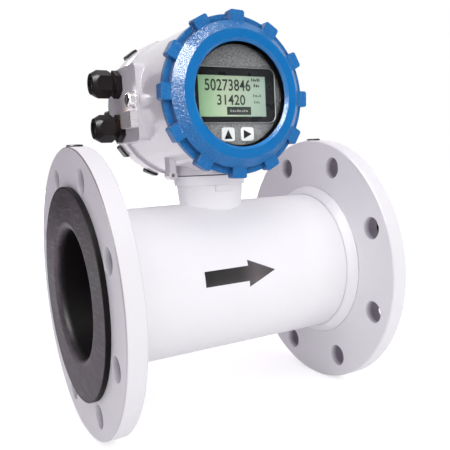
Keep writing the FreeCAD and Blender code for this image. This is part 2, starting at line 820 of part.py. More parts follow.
def earth_strap():
    """Folded strap that clamps the bonding wire against its brass core."""
    low, high = strap_z - strap_height / 2, strap_z + strap_height / 2
    rear = strap_front_y + strap_length
    outer = block(-pad_x - strap_t, -pad_x, strap_front_y, rear, low, high)
    inner = block(-pad_x - strap_t + strap_wall, -pad_x, strap_front_y + strap_wall, rear,
                  low + strap_wall, high - strap_wall)
    return outer.cut(inner)


def earth_core():
    low, high = strap_z - strap_height / 2 + strap_wall, strap_z + strap_height / 2 - strap_wall
    return block(-pad_x - strap_t + strap_wall, -pad_x, strap_front_y + strap_wall,
                 strap_front_y + strap_length + core_over, low, high)


def main():
    parts = {"measuring_tube": measuring_tube(), "liner": liner(), "coil_casing": coil_casing(),
             "neck": neck(), "neck_gasket": neck_gasket(), "neck_screws": neck_screws(),
             "housing": housing(), "feed_through": feed_through(),
             "front_cover": front_cover(), "window_glass": window_glass(), "glass_ring": glass_ring(),
             "front_oring": cover_oring(front_y, -1),
             "rear_cover": rear_cover(), "rear_oring": cover_oring(rear_y, 1),
             "display_plate": display_plate(), "lcd_bezel": lcd_bezel(), "lcd_screen": lcd_screen(),
             "key_up": key(-1), "key_right": key(1), "key_switches": key_switches(),
             "display_posts": display_posts(), "display_board": display_board(),
             "frame_posts": frame_posts(), "main_board": main_board(), "power_module": power_module(),
             "capacitors": capacitors(), "sensor_leads": sensor_leads(), "sensor_plug": sensor_plug(),
             "terminal_block": terminal_block(), "terminal_screws": terminal_screws(),
             "earth_washer": earth_washer(), "earth_screw": earth_screw(),
             "earth_strap": earth_strap(), "earth_core": earth_core()}
    for name, side in SIDES.items():
        parts[f"{name}_flange"] = flange(side)
        parts[f"{name}_weld"] = weld(side)
        parts[f"{name}_rim_plug"] = rim_plug(side)
    for name, side in (("front", -1), ("rear", 1)):
        parts[f"{name}_electrode"] = electrode(side)
        parts[f"{name}_electrode_sleeve"] = electrode_sleeve(side)
        parts[f"{name}_electrode_nut"] = electrode_nut(side)
    for name, side in (("upper", 1), ("lower", -1)):
        parts[f"{name}_coil"] = coil(side)
        parts[f"{name}_pole"] = pole(side)
        parts[f"{name}_gland_body"] = gland_body(side * gland_rise)
        parts[f"{name}_gland_nut"] = gland_nut(side * gland_rise)
        parts[f"{name}_slip_ring"] = slip_ring(side * gland_rise)
        parts[f"{name}_gland_seal"] = gland_seal(side * gland_rise)
    os.makedirs("parts", exist_ok=True)
    for name, shape in parts.items():
        shape.exportStep(f"parts/{name}.step")
        print(f"{name}: {len(shape.Solids)} solid(s), volume {shape.Volume:.0f}, valid {shape.isValid()}")


main()
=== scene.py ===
"""Looks of the electromagnetic flow meter: camera, light, finishes, display content and flow arrow."""
import json
import math

import bmesh
import bpy
from mathutils import Matrix, Vector


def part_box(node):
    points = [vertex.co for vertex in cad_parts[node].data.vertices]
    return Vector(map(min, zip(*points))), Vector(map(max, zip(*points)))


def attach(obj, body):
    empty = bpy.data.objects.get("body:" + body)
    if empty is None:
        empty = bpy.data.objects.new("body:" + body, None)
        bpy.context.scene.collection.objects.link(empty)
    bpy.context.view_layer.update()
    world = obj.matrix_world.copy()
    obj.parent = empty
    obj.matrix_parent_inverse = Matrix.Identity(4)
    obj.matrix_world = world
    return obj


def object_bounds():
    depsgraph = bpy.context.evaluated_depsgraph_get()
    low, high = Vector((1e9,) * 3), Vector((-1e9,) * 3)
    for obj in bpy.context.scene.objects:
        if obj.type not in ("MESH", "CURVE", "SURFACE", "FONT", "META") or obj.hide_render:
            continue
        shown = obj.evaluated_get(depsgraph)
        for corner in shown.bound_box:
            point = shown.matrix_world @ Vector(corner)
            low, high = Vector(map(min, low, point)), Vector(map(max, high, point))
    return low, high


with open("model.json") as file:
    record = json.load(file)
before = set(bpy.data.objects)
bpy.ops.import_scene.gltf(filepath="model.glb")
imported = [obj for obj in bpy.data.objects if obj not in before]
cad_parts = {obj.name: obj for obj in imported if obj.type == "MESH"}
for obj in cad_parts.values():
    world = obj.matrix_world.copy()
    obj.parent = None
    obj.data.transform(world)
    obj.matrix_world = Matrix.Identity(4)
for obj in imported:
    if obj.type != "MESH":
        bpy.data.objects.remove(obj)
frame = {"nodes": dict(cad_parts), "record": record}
cad_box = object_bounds()
nodes = frame["nodes"]
scene = bpy.context.scene
scene.view_settings.view_transform = "Standard"
MM = 0.001


# --- camera ----------------------------------------------------------------
def aim(yaw, pitch, roll):
    """Rotation that looks along +Y turned by yaw towards +X, dipped by pitch, then rolled."""
    yaw, pitch, roll = (math.radians(a) for a in (yaw, pitch, roll))
    ahead = Vector((math.sin(yaw) * math.cos(pitch), math.cos(yaw) * math.cos(pitch), -math.sin(pitch)))
    level = Vector((math.cos(yaw), -math.sin(yaw), 0))
    over = level.cross(ahead)
    right = level * math.cos(roll) + over * math.sin(roll)
    up = over * math.cos(roll) - level * math.sin(roll)
    return Matrix((right, up, -ahead)).transposed()


camera = bpy.data.objects.new("camera", bpy.data.cameras.new("camera"))
scene.collection.objects.link(camera)
scene.camera = camera
camera.data.lens = 48.25
camera.data.shift_x, camera.data.shift_y = -0.0804, 0.0221
camera.data.clip_start = 0.01
camera.matrix_world = Matrix.Translation((-0.2365, -0.4737, 0.0974)) @ aim(31.187, 7.025, -2.577).to_4x4()


# --- shader building -------------------------------------------------------
class Finish:
    """One procedural material, its patterns laid out in metres in the object's frame."""

    def __init__(self, name, **values):
        self.mat = bpy.data.materials.new(name)
        self.mat.use_nodes = True
        self.tree = self.mat.node_tree
        self.shader = self.tree.nodes["Principled BSDF"]
        self.place = self.add("ShaderNodeTexCoord").outputs["Object"]
        for socket, value in values.items():
            self.shader.inputs[socket.replace("_", " ")].default_value = value

    def add(self, kind, **settings):
        node = self.tree.nodes.new(kind)
        for key, value in settings.items():
            setattr(node, key, value)
        return node

    def join(self, source, target):
        self.tree.links.new(source, target)

    def put(self, value, target):
        """Link a socket, or set a plain value."""
        if hasattr(value, "links"):
            self.join(value, target)
        else:
            target.default_value = value

    def noise(self, scale, detail=3.0, roughness=0.5, stretch=None, distortion=0.0):
        """Noise with about scale features a metre; stretch scales the axes."""
        node = self.add("ShaderNodeTexNoise")
        node.inputs["Scale"].default_value = scale
        node.inputs["Detail"].default_value = detail
        node.inputs["Roughness"].default_value = roughness
        node.inputs["Distortion"].default_value = distortion
        place = self.place
        if stretch:
            mapping = self.add("ShaderNodeMapping")
            mapping.inputs["Scale"].default_value = stretch
            self.join(place, mapping.inputs["Vector"])
            place = mapping.outputs["Vector"]
        self.join(place, node.inputs["Vector"])
        return node.outputs["Fac"]

    def cells(self, scale):
        """Distance to the nearest of about scale points a metre."""
        node = self.add("ShaderNodeTexVoronoi")
        node.inputs["Scale"].default_value = scale
        self.join(self.place, node.inputs["Vector"])
        return node.outputs["Distance"]

    def openness(self, reach):
        """1 where nothing stands within reach of the surface, less in grooves and corners."""
        node = self.add("ShaderNodeAmbientOcclusion", samples=8)
        node.inputs["Distance"].default_value = reach
        return node.outputs["AO"]

    def math(self, operation, a, b=0.0, c=0.0):
        node = self.add("ShaderNodeMath", operation=operation)
        for value, socket in zip((a, b, c), node.inputs):
            self.put(value, socket)
        return node.outputs[0]

    def remap(self, value, low, high, from_low=0.0, from_high=1.0):
        """Straight, clamped run from low at from_low to high at from_high."""
        node = self.add("ShaderNodeMapRange")
        for v, name in ((value, "Value"), (from_low, "From Min"), (from_high, "From Max"),
                        (low, "To Min"), (high, "To Max")):
            self.put(v, node.inputs[name])
        return node.outputs[0]

    def ramp(self, value, *stops):
        """Colour ramp; each stop is (place, colour)."""
        node = self.add("ShaderNodeValToRGB")
        self.put(value, node.inputs[0])
        elements = node.color_ramp.elements
        while len(elements) < len(stops):
            elements.new(0.5)
        for element, (place, colour) in zip(elements, stops):
            element.position = place
            element.color = (*colour, 1)
        return node.outputs[0]

    def blend(self, factor, a, b):
        node = self.add("ShaderNodeMix", data_type="RGBA")
        self.put(factor, node.inputs[0])
        self.put(a if hasattr(a, "links") else (*a, 1), node.inputs[6])
        self.put(b if hasattr(b, "links") else (*b, 1), node.inputs[7])
        return node.outputs[2]

    def axis(self, name):
        node = self.add("ShaderNodeSeparateXYZ")
        self.join(self.place, node.inputs[0])
        return node.outputs[name]

    def turned(self, name):
        """How much the surface faces along the named axis, from -1 to 1."""
        node = self.add("ShaderNodeSeparateXYZ")
        self.join(self.add("ShaderNodeNewGeometry").outputs["Normal"], node.inputs[0])
        return node.outputs[name]

    def colour(self, source):
        self.put(source if hasattr(source, "links") else (*source, 1), self.shader.inputs["Base Color"])
        return self

    def roughness(self, source):
        self.put(source, self.shader.inputs["Roughness"])
        return self

    def relief(self, *layers, edge=0.0):
        """Bump layers of (height source, depth in metres, strength), on edges rounded by edge metres."""
        normal = None
        if edge:
            bevel = self.add("ShaderNodeBevel", samples=4)
            bevel.inputs["Radius"].default_value = edge
            normal = bevel.outputs["Normal"]
        for height, depth, strength in layers:
            bump = self.add("ShaderNodeBump")
            bump.inputs["Distance"].default_value = depth
            bump.inputs["Strength"].default_value = strength
            self.put(height, bump.inputs["Height"])
            if normal:
                self.join(normal, bump.inputs["Normal"])
            normal = bump.outputs["Normal"]
        if normal:
            self.join(normal, self.shader.inputs["Normal"])
        return self


def tone(colour, factor):
    return tuple(min(1.0, c * factor) for c in colour)


def patched(name, colour, rough, spread=0.08, scale=30.0, grain=900.0, edge=0.0004, **values):
    """Plain finish with soft colour patches, uneven gloss and a fine grain."""
    f = Finish(name, **values)
    patches = f.noise(scale, 4.0)
    f.colour(f.ramp(patches, (0.3, tone(colour, 1 - spread)), (0.7, tone(colour, 1 + spread))))
    f.roughness(f.remap(f.noise(scale * 3, 3.0), rough * 0.8, rough * 1.25))
    f.relief((f.noise(grain, 2.0), 0.0002, 0.25), edge=edge)
    return f


# --- places on the head ----------------------------------------------------
glass_low, glass_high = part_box("window_glass")
HEAD_Z = (glass_low.z + glass_high.z) / 2
GLASS_Y, GLASS_R = glass_low.y, (glass_high.z - glass_low.z) / 2
FRONT_RING_R = GLASS_R + 2.9 * MM
LUG_ROOT_R = FRONT_RING_R + 8.6 * MM
SCREEN_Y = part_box("lcd_screen")[0].y


# --- finishes --------------------------------------------------------------
WHITE = (0.875, 0.872, 0.878)
HOUSING_WHITE = (0.70, 0.685, 0.705)
BLUE = (0.001, 0.165, 0.465)
MATT = {"Coat_Weight": 0.0, "Specular_IOR_Level": 0.3}
mounts = {m["name"]: m["dims"] for m in frame["record"]["mounts"]}


def length(f, a, b):
    return f.math("SQRT", f.math("ADD", f.math("MULTIPLY", a, a), f.math("MULTIPLY", b, b)))


def head_radius(f):
    """Distance from the head's axis."""
    return length(f, f.axis("X"), f.math("SUBTRACT", f.axis("Z"), HEAD_Z))


def pipe_turn(f):
    """Angle round the pipe's axis."""
    return f.math("ARCTAN2", f.axis("Z"), f.axis("Y"))


def sprayed(name, colour, rough, **values):
    """White spray paint with a faint drift in tint and gloss."""
    f = Finish(name, **values)
    f.colour(f.ramp(f.noise(9.0, 3.0), (0.3, tone(colour, 0.975)), (0.7, tone(colour, 1.01))))
    f.roughness(f.remap(f.noise(40.0, 3.0), rough * 0.85, rough * 1.2))
    return f


def white_enamel(name, colour, rough, orange_peel, waves=0.12, **values):
    """Spray paint with orange peel, long waves and softened edges."""
    f = sprayed(name, colour, rough, **values)
    f.relief((f.noise(260.0, 2.0), 0.0006, orange_peel), (f.noise(30.0, 2.0), 0.002, waves), edge=0.0009)
    return f


def weld_enamel():
    """Spray paint over a dressed weld bead: lumps, and faint ripples round the pipe's axis."""
    f = sprayed("weld_enamel", WHITE, 0.55, **MATT)
    ripples, wander = 60.0, f.math("MULTIPLY", f.noise(30.0), 9.0)
    ripple = f.math("SINE", f.math("MULTIPLY_ADD", pipe_turn(f), ripples, wander))
    f.relief((f.remap(ripple, 0.0, 1.0, -1.0, 1.0), 0.0005, 0.16), (f.noise(70.0, 3.0), 0.003, 0.3),
             edge=0.002)
    return f


def flange_enamel(side):
    """Enamel of a flange, with painted shade that darkens its bolt holes the deeper they go. The inlet's
    pipe face is worn to a thin brown line along its edge."""
    face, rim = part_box(f"{side}_flange")[0].x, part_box(f"{side}_flange")[1].y
    drilling = mounts[f"{side}_bolts"]
    circle, pitch = drilling["pcd_mm"] / 2 * MM, 2 * math.pi / drilling["count"]
    f = white_enamel(f"{side}_enamel", tone(WHITE, 0.93), 0.45, 0.18, **MATT)
    unshaded_enamel = f.shader.inputs["Base Color"].links[0].from_socket
    radius = length(f, f.axis("Y"), f.axis("Z"))
    turn = f.math("SUBTRACT", f.math("WRAP", pipe_turn(f), pitch, 0.0), pitch / 2)
    across = f.math("SUBTRACT", f.math("MULTIPLY", radius, f.math("COSINE", turn)), circle)
    along = f.math("MULTIPLY", radius, f.math("SINE", turn))
    # painted shade: inside each bolt hole the enamel darkens towards a dim lilac grey with depth from the
    # face
    inside = f.math("LESS_THAN", length(f, across, along), (drilling["hole_r_mm"] + 0.15) * MM)
    depth = f.remap(f.axis("X"), 0.0, 0.9, face + 0.4 * MM, face + 6.5 * MM)
    shaded = f.blend(f.math("MULTIPLY", inside, depth), unshaded_enamel, (0.13, 0.105, 0.15))
    if side == "inlet":
        edge = f.math("MULTIPLY", f.math("GREATER_THAN", radius, rim - 0.9 * MM),
                      f.math("LESS_THAN", f.axis("X"), face + 0.9 * MM))
        upper = f.remap(f.axis("Z"), 0.25, 0.85, -40 * MM, 90 * MM)
        shaded = f.blend(f.math("MULTIPLY", edge, upper), shaded, (0.10, 0.05, 0.06))
    f.colour(shaded)
    return f


def hammered_blue(name, colour):
    """Thick textured enamel: pebbled cone, smoother front ring, and painted shade in navy round the roots
    and side walls of the lugs and in corners.
    """
    f = Finish(name, Specular_IOR_Level=0.35, Coat_Weight=0.12, Coat_Roughness=0.12)
    radius = head_radius(f)
    drift = f.ramp(f.noise(14.0, 3.0), (0.3, tone(colour, 0.92)), (0.7, tone(colour, 1.1)))
    specks = f.math("LESS_THAN", f.cells(420.0), 0.07)
    flecked = f.blend(f.math("MULTIPLY", specks, 0.3), drift, (0.25, 0.5, 0.85))
    # painted shade: the cover's inside behind the window is painted near-black, for the shade in that hollow
    inside = f.math("MULTIPLY", f.math("LESS_THAN", radius, GLASS_R + 3 * MM),
                    f.math("GREATER_THAN", f.axis("Y"), GLASS_Y - 0.1 * MM))
    # painted shade: navy on faces turned across the axis near the lug roots, and in grooves and corners,
    # where shade falls
    root = f.remap(radius, 0.85, 0.22, LUG_ROOT_R, LUG_ROOT_R + 3.5 * MM)
    walls = f.math("MULTIPLY", root, f.remap(f.math("ABSOLUTE", f.turned("Y")), 1.0, 0.0, 0.25, 0.5))
    corners = f.remap(f.openness(9 * MM), 0.7, 0.0, 0.4, 0.93)
    lug_shade_painted = f.blend(f.math("MAXIMUM", walls, corners), flecked, (0.001, 0.055, 0.20))
    f.colour(f.blend(inside, lug_shade_painted, (0.012, 0.012, 0.014)))
    f.roughness(f.math("MULTIPLY_ADD", walls, 0.5, f.remap(f.noise(300.0, 2.0), 0.14, 0.26)))
    cone = f.remap(radius, 0.25, 1.0, FRONT_RING_R - 0.5 * MM, FRONT_RING_R + 0.5 * MM)
    pebbles = f.math("MULTIPLY", f.noise(720.0, 2.0, 0.6), cone)
    f.relief((pebbles, 0.0018, 0.75), (f.noise(120.0, 2.0), 0.001, 0.12), edge=0.0007)
    return f


def rubber(name, colour, rough=0.5):
    """Moulded rubber: cloudy bloom, faint scuffs and turning marks."""
    f = Finish(name, Specular_IOR_Level=0.12)
    cloud = f.noise(28.0, 5.0, 0.6, distortion=0.4)
    scuffs = f.noise(160.0, 4.0, 0.7, stretch=(1.0, 0.25, 1.6))
    base = f.ramp(cloud, (0.25, tone(colour, 0.6)), (0.75, tone(colour, 1.6)))
    f.colour(f.blend(f.remap(scuffs, 0.0, 0.45, 0.58, 0.8), base, tone(colour, 3.2)))
    f.roughness(f.remap(cloud, rough * 0.75, rough * 1.3))
    f.relief((scuffs, 0.0005, 0.35), (f.noise(700.0, 2.0), 0.0003, 0.3), edge=0.0012)
    return f


def lining():
    """Pipe lining: a cloudy scuffed face, with painted shade making the bore and outer rim near-black, and a
    painted highlight as a pale ring where the mouth turns in.
    """
    f = Finish("liner_rubber", Specular_IOR_Level=0.08)
    bore, rim = mounts["flow_bore"]["r_mm"] * MM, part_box("liner")[1].z
    radius = length(f, f.axis("Y"), f.axis("Z"))
    cloud = f.noise(26.0, 6.0, 0.65, distortion=0.5)
    scuffs = f.noise(230.0, 5.0, 0.75, stretch=(1.0, 0.2, 1.4))
    bloom = f.ramp(cloud, (0.34, (0.028, 0.022, 0.026)), (0.5, (0.05, 0.040, 0.047)),
                   (0.68, (0.11, 0.088, 0.103)))
    worn = f.blend(f.remap(scuffs, 0.0, 0.55, 0.5, 0.68), bloom, (0.16, 0.135, 0.155))
    # painted highlight: a pale ring on the rounded edge where the mouth turns in
    mouth = f.math("ABSOLUTE", f.math("SUBTRACT", radius, bore + 4.0 * MM))
    mouth_highlight = f.blend(f.remap(mouth, 0.55, 0.0, 0.6 * MM, 2.4 * MM), worn, (0.17, 0.145, 0.16))
    # painted shade: off the face, the bore and the outer rim are painted near-black
    face = f.math("MULTIPLY", f.remap(radius, 0.0, 1.0, bore + 0.4 * MM, bore + 2.4 * MM),
                  f.remap(radius, 1.0, 0.0, rim - 1.7 * MM, rim - 1.0 * MM))
    f.colour(f.blend(face, (0.009, 0.007, 0.008), mouth_highlight))
    f.roughness(f.remap(cloud, 0.32, 0.55))
    f.relief((scuffs, 0.0006, 0.4), (f.noise(700.0, 2.0), 0.0003, 0.3), edge=0.0012)
    return f


def speckled(name, colour, light):
    """Textured sheet with fine pale grains."""
    f = Finish(name)
    grains = f.noise(1500.0, 2.0, 0.7)
    f.colour(f.ramp(grains, (0.38, colour), (0.62, light)))
    f.roughness(f.remap(f.noise(200.0), 0.45, 0.65))
    f.relief((grains, 0.0003, 0.4), edge=0.0003)
    return f


def brushed(name, colour, rough, stretch=(1.0, 0.03, 1.0), **values):
    """Machined or drawn metal with lines one way."""
    f = Finish(name, **{"Metallic": 1.0, **values})
    lines = f.noise(2500.0, 3.0, 0.6, stretch=stretch)
    f.colour(f.ramp(lines, (0.3, tone(colour, 0.85)), (0.7, tone(colour, 1.1))))
    f.roughness(f.remap(lines, rough * 0.7, rough * 1.4))
    f.relief((lines, 0.0001, 0.3), edge=0.0003)
    return f


def lcd():
    """Reflective display, yellow-green at one side and grey-green at the other, with a faint dot grid."""
    low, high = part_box("lcd_screen")
    f = Finish("lcd_green", Specular_IOR_Level=0.35)
    across = f.remap(f.axis("X"), 0.0, 1.0, low.x, high.x)
    f.colour(f.ramp(f.math("ADD", across, f.math("MULTIPLY_ADD", f.noise(25.0), 0.24, -0.12)),
                    (0.05, (0.27, 0.42, 0.25)), (0.4, (0.34, 0.40, 0.29)), (0.95, (0.23, 0.29, 0.25))))
    f.roughness(f.remap(f.noise(90.0), 0.25, 0.4))
    f.relief((f.noise(3000.0, 1.0), 0.00005, 0.2))
    return f


def window():
    """Clear window that lets the lamps through."""
    f = Finish("window_glass_clear", Transmission_Weight=1.0, IOR=1.3)
    f.colour((0.97, 0.985, 0.985))
    f.roughness(f.remap(f.noise(60.0), 0.0, 0.02))
    path = f.add("ShaderNodeLightPath")
    clear = f.add("ShaderNodeBsdfTransparent")
    mix = f.add("ShaderNodeMixShader")
    f.join(path.outputs["Is Shadow Ray"], mix.inputs[0])
    f.join(f.shader.outputs[0], mix.inputs[1])
    f.join(clear.outputs[0], mix.inputs[2])
    f.join(mix.outputs[0], f.tree.nodes["Material Output"].inputs["Surface"])
    return f


paint = white_enamel("white_enamel", WHITE, 0.45, 0.18, **MATT)
housing_paint = white_enamel("housing_enamel", HOUSING_WHITE, 0.24, 0.4, 0.45, Coat_Weight=0.4,
                             Coat_Roughness=0.12)
weld_paint = weld_enamel()
cover_blue = hammered_blue("cover_blue", BLUE)
cover_dark = patched("cover_dark", (0.018, 0.018, 0.022), 0.38, 0.2)
liner_rubber = lining()
seal_rubber = rubber("seal_rubber", (0.02, 0.02, 0.02))
nylon = patched("gland_nylon", (0.016, 0.013, 0.014), 0.34, 0.25, grain=1400.0, edge=0.0007,
                Specular_IOR_Level=0.08)
slip_grey = patched("slip_ring_grey", (0.16, 0.15, 0.155), 0.45, 0.15)
plate_grey = speckled("display_plate_grey", (0.07, 0.068, 0.072), (0.27, 0.265, 0.28))
bezel_black = patched("bezel_black", (0.012, 0.012, 0.014), 0.28, 0.2, Specular_IOR_Level=0.3)
key_white = patched("key_white", (0.62, 0.61, 0.62), 0.4, 0.06, scale=90.0)
ink = patched("lcd_ink", (0.006, 0.010, 0.009), 0.5, 0.2)
faint_ink = patched("lcd_faint_ink", (0.07, 0.10, 0.075), 0.5, 0.2)
pale_ink = patched("lcd_pale_ink", (0.22, 0.22, 0.20), 0.5, 0.2)
steel = brushed("stainless_steel", (0.62, 0.61, 0.62), 0.28)
chrome = brushed("chromed_steel", (0.82, 0.81, 0.82), 0.12)
strap_metal = brushed("strap_nickel", (0.84, 0.81, 0.82), 0.3, (0.05, 0.05, 1.0), Metallic=0.75)
brass = brushed("brass_core", (0.70, 0.42, 0.22), 0.3)
copper = brushed("copper_winding", (0.72, 0.30, 0.16), 0.35, (0.02, 1.0, 1.0))
iron = patched("iron_core", (0.25, 0.25, 0.26), 0.5, Metallic=0.8)
board = patched("board_green", (0.02, 0.14, 0.05), 0.4)
part_grey = patched("part_grey", (0.10, 0.10, 0.11), 0.5)
silver_line = brushed("bezel_trim", (0.4, 0.4, 0.41), 0.3)
gasket_rubber = patched("gasket_rubber", (0.10, 0.09, 0.10), 0.6, 0.2)

finishes = {
    "measuring_tube": steel, "liner": liner_rubber, "coil_casing": paint, "neck": paint,
    "neck_gasket": gasket_rubber, "neck_screws": steel, "housing": housing_paint, "feed_through": part_grey,
    "front_cover": cover_blue, "window_glass": window(), "glass_ring": bezel_black,
    "front_oring": seal_rubber, "rear_cover": cover_dark, "rear_oring": seal_rubber,
    "display_plate": plate_grey, "lcd_bezel": bezel_black, "lcd_screen": lcd(), "key_up": key_white,
    "key_right": key_white, "key_switches": part_grey, "display_posts": steel, "display_board": board,
    "frame_posts": steel, "main_board": board, "power_module": part_grey, "capacitors": part_grey,
    "sensor_leads": seal_rubber, "sensor_plug": part_grey, "terminal_block": part_grey,
    "terminal_screws": steel, "earth_washer": chrome, "earth_screw": chrome, "earth_strap": strap_metal,
    "earth_core": brass,
}
for side in ("inlet", "outlet"):
    finishes.update({f"{side}_flange": flange_enamel(side), f"{side}_weld": weld_paint,
                     f"{side}_rim_plug": cover_dark})
for side in ("front", "rear"):
    finishes.update({f"{side}_electrode": steel, f"{side}_electrode_sleeve": nylon,
                     f"{side}_electrode_nut": steel})
for side in ("upper", "lower"):
    finishes.update({f"{side}_coil": copper, f"{side}_pole": iron, f"{side}_gland_body": nylon,
                     f"{side}_gland_nut": nylon, f"{side}_slip_ring": slip_grey,
                     f"{side}_gland_seal": seal_rubber})
for name, obj in nodes.items():
    obj.data.materials.clear()
    obj.data.materials.append(finishes[name].mat)


# --- pieces of the scene's own ---------------------------------------------
def piece(name, mesh, finish, body):
    obj = bpy.data.objects.new(name, mesh)
    scene.collection.objects.link(obj)
    mesh.materials.append(finish.mat)
    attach(obj, body)
    return obj


def mesh_from(bm, name, smooth=False):
    """Finished mesh of a bmesh, its faces turned outwards."""
    bmesh.ops.recalc_face_normals(bm, faces=bm.faces)
    for face in bm.faces:
        face.smooth = smooth
    mesh = bpy.data.meshes.new(name)
    bm.to_mesh(mesh)
    bm.free()
    return mesh


def slab(outline, lift, thick, bend):
    """Thin plate from an outline in its own plane; bend maps (u, v, height) to a place."""
    bm = bmesh.new()
    top = [bm.verts.new(bend(u, v, lift + thick)) for u, v in outline]
    base = [bm.verts.new(bend(u, v, lift)) for u, v in outline]
    bm.faces.new(top)
    bm.faces.new(base[::-1])
    for i in range(len(outline)):
        j = (i + 1) % len(outline)
        bm.faces.new((top[i], base[i], base[j], top[j]))
    return mesh_from(bm, "slab")


def flow_arrow():
    """Painted arrow bent round the casing's front, in strips along the pipe so that it hugs the curve."""
    casing_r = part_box("coil_casing")[1].y
    tail, head_start, tip = -39.3 * MM, -0.7 * MM, 23.8 * MM
    centre, shaft_half, head_half = 8.8 * MM, 6.1 * MM, 10.9 * MM
    bm = bmesh.new()
    rows, skin = 24, 0.15 * MM

    def on_casing(x, arc, lift):
        angle = arc / casing_r
        r = casing_r + lift
        return (x, -r * math.cos(angle), r * math.sin(angle))

    def half_width(x):
        return shaft_half if x < head_start else head_half * (tip - x) / (tip - head_start)

    steps, step_gap = 12, 0.01 * MM
    stations = [tail + (head_start - tail) * i / steps for i in range(steps)] + [head_start - step_gap]
    stations += [head_start + (tip - head_start) * i / steps for i in range(steps + 1)]
    grid = []
    for x in stations:
        reach = max(half_width(x), 0.02 * MM)
        arcs = [centre + reach * (2 * j / rows - 1) for j in range(rows + 1)]
        grid.append([[bm.verts.new(on_casing(x, a, lift)) for a in arcs] for lift in (0.02 * MM, skin)])
    for (low0, top0), (low1, top1) in zip(grid, grid[1:]):
        for j in range(rows):
            bm.faces.new((top0[j], top0[j + 1], top1[j + 1], top1[j]))
            bm.faces.new((low0[j], low1[j], low1[j + 1], low0[j + 1]))
        for j in (0, rows):
            bm.faces.new((low0[j], top0[j], top1[j], low1[j]))
    for low, top in (grid[0], grid[-1]):
        for j in range(rows):
            bm.faces.new((low[j], low[j + 1], top[j + 1], top[j]))
    f = Finish("arrow_black", Coat_Weight=0.2)
    along = f.remap(f.axis("X"), 0.0, 1.0, tail, tip)
    drift = f.math("ADD", along, f.math("MULTIPLY_ADD", f.noise(60.0), 0.1, -0.05))
    f.colour(f.ramp(drift, (0.0, (0.01, 0.009, 0.009)), (0.5, (0.03, 0.027, 0.028)),
                    (0.75, (0.11, 0.095, 0.10)), (1.0, (0.06, 0.05, 0.055))))
    f.roughness(f.remap(f.noise(220.0), 0.35, 0.5))
    f.relief((f.noise(260.0), 0.0003, 0.2))
    return piece("flow_arrow", mesh_from(bm, "flow_arrow"), f, "meter")


def facing(y):
    """Places (x, z) in a plane that faces the reader, lifted towards -Y."""
    return lambda u, v, height: (u, y - height, v)


def plain_digits(name, digits, left, base, size, width):
    """A line of plain digits on the display, its sizes in millimetres, base counted from the head's axis."""
    text = bpy.data.curves.new(name, "FONT")
    text.body = digits
    text.size = size * MM
    text.space_character = 1.04
    text.extrude = 0.02 * MM
    text.offset = 0.17 * MM
    obj = bpy.data.objects.new(name, text)
    scene.collection.objects.link(obj)
    place = Matrix.Translation((left * MM, SCREEN_Y - 0.05 * MM, HEAD_Z + base * MM))
    obj.matrix_world = place @ Matrix.Rotation(math.pi / 2, 4, "X")
    bpy.context.view_layer.update()
    natural = obj.dimensions.x
    obj.matrix_world = obj.matrix_world @ Matrix.Diagonal((width * MM / natural, 1, 1, 1))
    text.materials.append(ink.mat)
    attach(obj, "meter")
    return obj


def dashes(left, right, low, height, count):
    """A row of short bars of uneven width and height, in millimetres."""
    pitch = (right - left) / count
    return [(left + i * pitch, left + (i + 0.62 + 0.14 * (i % 2)) * pitch, low,
             low + height * (1 - 0.18 * (i % 3))) for i in range(count)]


def marks(name, rows, finish, lift=0.03 * MM):
    """Rows of small bars on the display; each bar is (left, right, low, high) in millimetres."""
    bm = bmesh.new()
    for left, right, low, high in rows:
        outline = [(left, low), (right, low), (right, high), (left, high)]
        mesh = slab([(u * MM, v * MM + HEAD_Z) for u, v in outline], lift, 0.02 * MM, facing(SCREEN_Y))
        bm.from_mesh(mesh)
        bpy.data.meshes.remove(mesh)
    return piece(name, mesh_from(bm, name), finish, "meter")


def bezel_trim():
    """Bright bead along the bezel's outer edge."""
    low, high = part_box("lcd_bezel")
    corner, bead, sides, steps = 6 * MM, 0.45 * MM, 8, 8
    centre_x, centre_z = (low.x + high.x) / 2, (low.z + high.z) / 2
    reach_x, reach_z = (high.x - low.x) / 2 - corner, (high.z - low.z) / 2 - corner
    bm = bmesh.new()
    rings = []
    for quarter in range(4):
        side_x, side_z = (1, 1, -1, -1)[quarter], (1, -1, -1, 1)[quarter]
        for i in range(steps + 1):
            turn = math.radians(90 * (quarter + i / steps))
            out_x, out_z = math.sin(turn), math.cos(turn)
            ring = []
            for j in range(sides):
                angle = 2 * math.pi * j / sides
                r = corner + bead * math.cos(angle)
                ring.append(bm.verts.new((centre_x + side_x * reach_x + r * out_x,
                                          low.y - bead * 0.3 + bead * math.sin(angle),
                                          centre_z + side_z * reach_z + r * out_z)))
            rings.append(ring)
    for here, there in zip(rings, rings[1:] + rings[:1]):
        for j in range(sides):
            k = (j + 1) % sides
            bm.faces.new((here[j], here[k], there[k], there[j]))
    return piece("bezel_trim", mesh_from(bm, "bezel_trim", smooth=True), silver_line, "meter")


def key_symbol(name, node, body, turn):
    """Triangle on a key, pointing up, or to the right with a quarter turn."""
    low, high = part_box(node)
    cx, cz = (low.x + high.x) / 2, (low.z + high.z) / 2
    triangle = ((0, 3.8), (3.6, -3.5), (-3.6, -3.5))
    outline = [(cx + (u * math.cos(turn) + v * math.sin(turn)) * MM,
                cz + (v * math.cos(turn) - u * math.sin(turn)) * MM) for u, v in triangle]
    mesh = slab(outline, 0.01 * MM, 0.06 * MM, facing(low.y))
    return piece(name, mesh, bezel_black, body)


